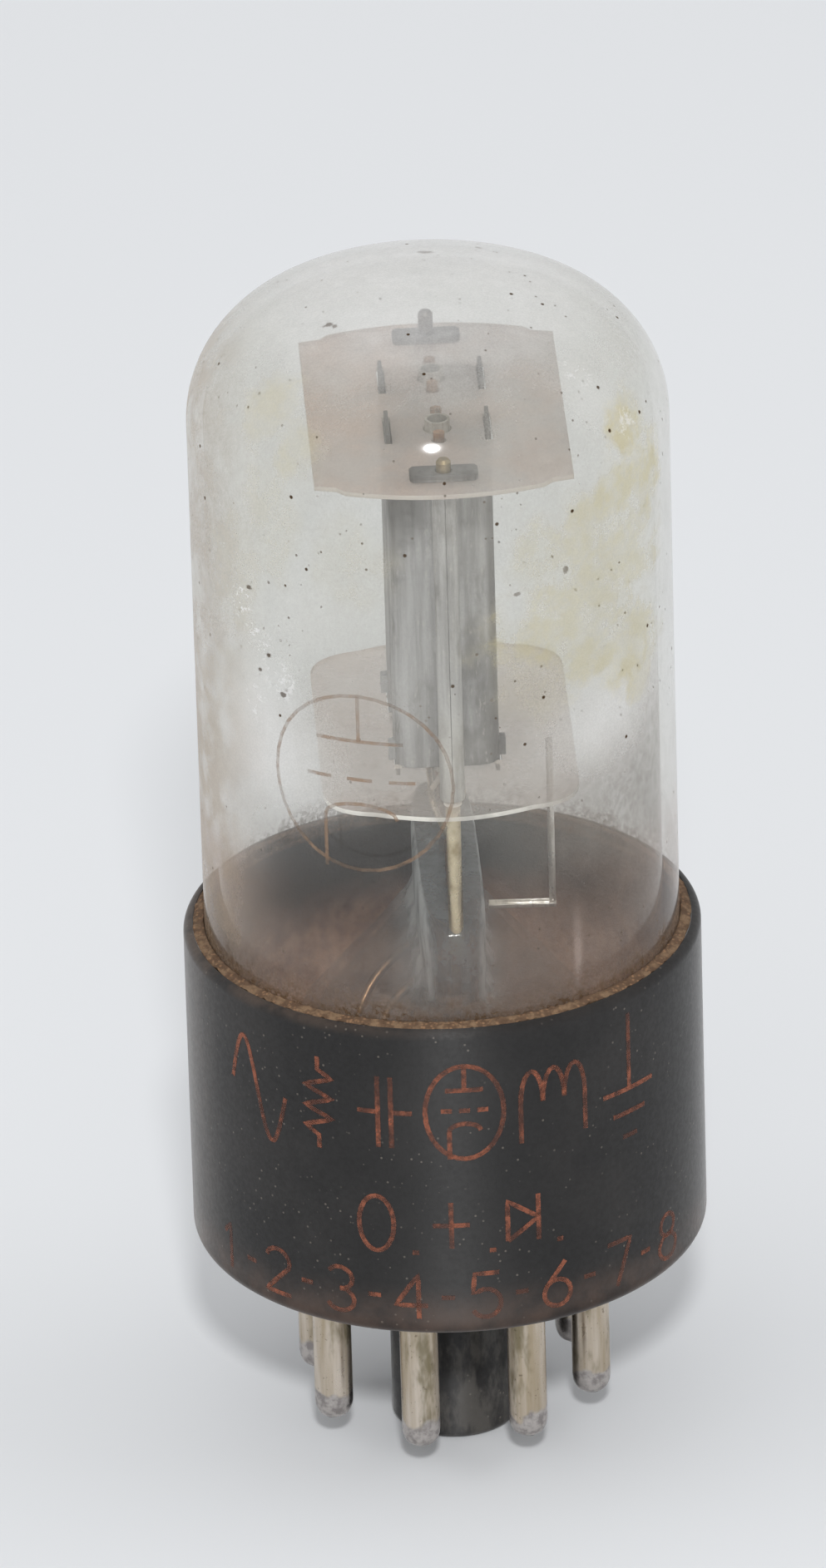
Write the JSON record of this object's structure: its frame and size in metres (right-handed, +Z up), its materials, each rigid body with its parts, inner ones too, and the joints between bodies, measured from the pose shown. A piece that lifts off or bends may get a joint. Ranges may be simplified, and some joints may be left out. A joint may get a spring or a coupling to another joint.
{
  "type": "octal vacuum tube",
  "caption": "Clear glass dual-triode vacuum tube with its electrode cage and glass stem on a black moulded octal base with plated pins and a keyed locating spigot.",
  "frame": {"origin": "middle of the locating spigot's flat end, on which the tube stands", "axes": "+Z up the tube's axis towards the bulb's crown; -Y is the printed front of the base, with the key on the spigot at the back"},
  "size_m": [0.0318, 0.0318, 0.0775],
  "materials": {
    "bakelite": "moulded phenolic, satin, dusty and rubbed",
    "cement": "baked brown basing cement, granular",
    "bulb_glass": "clear glass, hazed by dust and old residue",
    "stem_glass": "clear pressed lead glass",
    "pin_plating": "tarnished nickel plate",
    "solder": "dull soft solder",
    "lead_wire": "drawn copper-clad wire",
    "mica": "translucent sheet mica, sprayed matt",
    "anode_sheet": "grey carbonised nickel-plated sheet with faint drawn streaks",
    "nickel_wire": "drawn nickel wire, slightly golden",
    "copper_rod": "drawn copper rod",
    "cathode_sleeve": "nickel sleeve with white oxide coat",
    "heater_coating": "white alumina-coated wire"
  },
  "bodies": {
    "root": {"octal_base": "bakelite", "basing_cement": "cement", "glass_bulb": "bulb_glass", "stem": "stem_glass", "exhaust_tube": "stem_glass", "pin_1": "pin_plating", "pin_2": "pin_plating", "pin_3": "pin_plating", "pin_4": "pin_plating", "pin_5": "pin_plating", "pin_6": "pin_plating", "pin_7": "pin_plating", "pin_8": "pin_plating", "solder_tip_1": "solder", "solder_tip_2": "solder", "solder_tip_3": "solder", "solder_tip_4": "solder", "solder_tip_5": "solder", "solder_tip_6": "solder", "solder_tip_7": "solder", "solder_tip_8": "solder", "lead_1": "lead_wire", "lead_2": "lead_wire", "lead_3": "lead_wire", "lead_4": "lead_wire", "lead_5": "lead_wire", "lead_6": "lead_wire", "lead_7": "lead_wire", "lead_8": "lead_wire", "top_mica": "mica", "bottom_mica": "mica", "anode_front_left": "anode_sheet", "anode_front_right": "anode_sheet", "anode_rear_left": "anode_sheet", "anode_rear_right": "anode_sheet", "anode_rod_front": "nickel_wire", "anode_rod_rear": "nickel_wire", "rod_clip_front": "anode_sheet", "rod_clip_rear": "anode_sheet", "cathode_front": "cathode_sleeve", "cathode_rear": "cathode_sleeve", "heater_front": "heater_coating", "heater_rear": "heater_coating", "grid_front": "nickel_wire", "grid_rear": "nickel_wire", "grid_rod_front_inner": "copper_rod", "grid_rod_front_outer": "copper_rod", "grid_rod_rear_inner": "copper_rod", "grid_rod_rear_outer": "copper_rod", "anode_strap_front": "nickel_wire", "anode_strap_rear": "nickel_wire", "grid_strap_front": "nickel_wire", "grid_strap_rear": "nickel_wire", "cathode_strap_front": "nickel_wire", "cathode_strap_rear": "nickel_wire", "heater_bus_left": "nickel_wire", "heater_bus_right": "nickel_wire", "getter_support": "nickel_wire", "getter_tray": "nickel_wire"}
  },
  "joints": []
}
